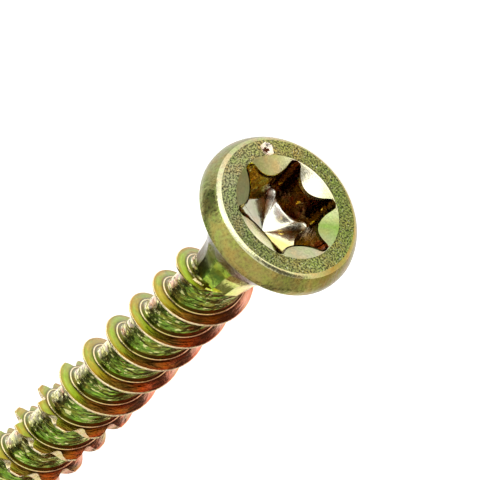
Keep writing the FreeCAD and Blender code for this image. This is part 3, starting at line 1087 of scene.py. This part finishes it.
# The stage, in metres. The soft boxes are (name, direction, distance, width, height, level): a small
# bright one before the head, a wide one over all and a dim one at the right.
FLOOR_SIZE = 6.0
FLOOR_DROP = 0.00002
FLOOR_GLOW = 0.8
LIT_POINT = Vector((0.012, 0.0, 0.006))
SOFT_BOXES = (("front_box", (0.86, 0.42, 0.33), 0.55, 0.72, 0.32, 1.9),
              ("top_box", (-0.10, 0.0, 0.99), 0.70, 1.90, 2.20, 0.85),
              ("right_box", (0.12, -0.95, 0.26), 0.90, 0.90, 0.42, 0.5))
WORLD_GREY = "#666664"

# The camera: the direction to it, the place it looks at, the width seen there, its distance
# in metres and its roll
TOWARD_CAMERA = (0.6984, 0.0, 0.7157)
LOOKS_AT = Vector((22.81, 0.635, 8.78))
SEEN_WIDTH = 32.73
CAMERA_DISTANCE = 1.5
CAMERA_ROLL = radians(45.95)


def white_board(colour):
    """Matt white card that glows to the camera and in reflections, to look even."""
    board = new_material("matt_white_board")
    tree = board.node_tree
    path = node(tree, "LightPath")
    seen = node(tree, "Math", {0: path.outputs["Is Camera Ray"], 1: path.outputs["Is Glossy Ray"]},
                operation="MAXIMUM")
    level = node(tree, "Math", {0: seen.outputs[0], 1: FLOOR_GLOW}, operation="MULTIPLY")
    card = node(tree, "BsdfDiffuse", {"Color": (*colour, 1.0)})
    glow = node(tree, "Emission", {"Strength": level.outputs[0]})
    both = node(tree, "AddShader", {0: card.outputs[0], 1: glow.outputs[0]})
    node(tree, "OutputMaterial", {"Surface": both.outputs[0]})
    return board


def soft_box(name, direction, distance, width, height, level):
    """A soft box of an even brightness, level being what a mirror would show of it."""
    data = bpy.data.lights.new(name, "AREA")
    data.shape = "RECTANGLE"
    data.size, data.size_y = width, height
    data.energy = level * pi * width * height
    lamp = bpy.data.objects.new(name, data)
    bpy.context.collection.objects.link(lamp)
    away = Vector(direction).normalized()
    lamp.location = LIT_POINT + away * distance
    lamp.rotation_euler = away.to_track_quat("Z", "Y").to_euler()
    lamp.visible_camera = False


class SCREW_OT_stage(bpy.types.Operator):
    """Adds the floor, the soft boxes, the world and the camera"""
    bl_idname = "screw.stage"
    bl_label = "Stage"

    def execute(self, context):
        plain_start()
        bpy.ops.mesh.primitive_plane_add(size=FLOOR_SIZE, location=(0.0, 0.0, -FLOOR_DROP))
        floor = bpy.context.object
        floor.name = "floor"
        floor.data.materials.append(white_board(context.scene.screw_colours.floor))
        for box in SOFT_BOXES:
            soft_box(*box)
        scene = context.scene
        scene.world = bpy.data.worlds.new("studio")
        scene.world.use_nodes = True
        tree = scene.world.node_tree
        tree.nodes.clear()
        air = node(tree, "Background", {"Color": linear(WORLD_GREY), "Strength": 1.0})
        node(tree, "OutputWorld", {"Surface": air.outputs[0]})
        scene.view_settings.view_transform = "Standard"
        place_camera(scene)
        return {"FINISHED"}


def place_camera(scene):
    """A long lens from above the head's side, rolled so that the head is at the upper right."""
    data = bpy.data.cameras.new("camera")
    camera = bpy.data.objects.new("camera", data)
    bpy.context.collection.objects.link(camera)
    toward = Vector(TOWARD_CAMERA).normalized()
    along = Vector((toward.z, 0.0, -toward.x))
    side = Vector((0.0, -1.0, 0.0))
    right = along * sin(CAMERA_ROLL) + side * cos(CAMERA_ROLL)
    up = toward.cross(right)
    turn = Matrix((right, up, toward)).transposed().to_4x4()
    camera.matrix_world = Matrix.Translation(LOOKS_AT * MM + toward * CAMERA_DISTANCE) @ turn
    data.lens = data.sensor_width * CAMERA_DISTANCE / (SEEN_WIDTH * MM)
    scene.camera = camera


class SCREW_PT_panel(bpy.types.Panel):
    """The screw's sizes, colours and steps"""
    bl_label = "Construction Screw"
    bl_idname = "SCREW_PT_panel"
    bl_space_type = "VIEW_3D"
    bl_region_type = "UI"
    bl_category = "Screw"

    def draw(self, context):
        for group_of in (context.scene.screw_sizes, context.scene.screw_colours):
            for name in group_of.__annotations__:
                self.layout.prop(group_of, name)
        for step in STEPS:
            self.layout.operator(step.bl_idname)


STEPS = (SCREW_OT_form_blank, SCREW_OT_roll_threads, SCREW_OT_plate, SCREW_OT_stage)
CLASSES = (ScrewSizes, ScrewColours) + STEPS + (SCREW_PT_panel,)


def register():
    for one in CLASSES:
        bpy.utils.register_class(one)
    bpy.types.Scene.screw_sizes = bpy.props.PointerProperty(type=ScrewSizes)
    bpy.types.Scene.screw_colours = bpy.props.PointerProperty(type=ScrewColours)


def unregister():
    del bpy.types.Scene.screw_colours
    del bpy.types.Scene.screw_sizes
    for one in reversed(CLASSES):
        bpy.utils.unregister_class(one)


def main():
    register()
    bpy.ops.screw.form_blank()
    bpy.ops.screw.roll_threads()
    bpy.ops.screw.plate()
    bpy.ops.screw.stage()


if __name__ == "__main__":
    main()
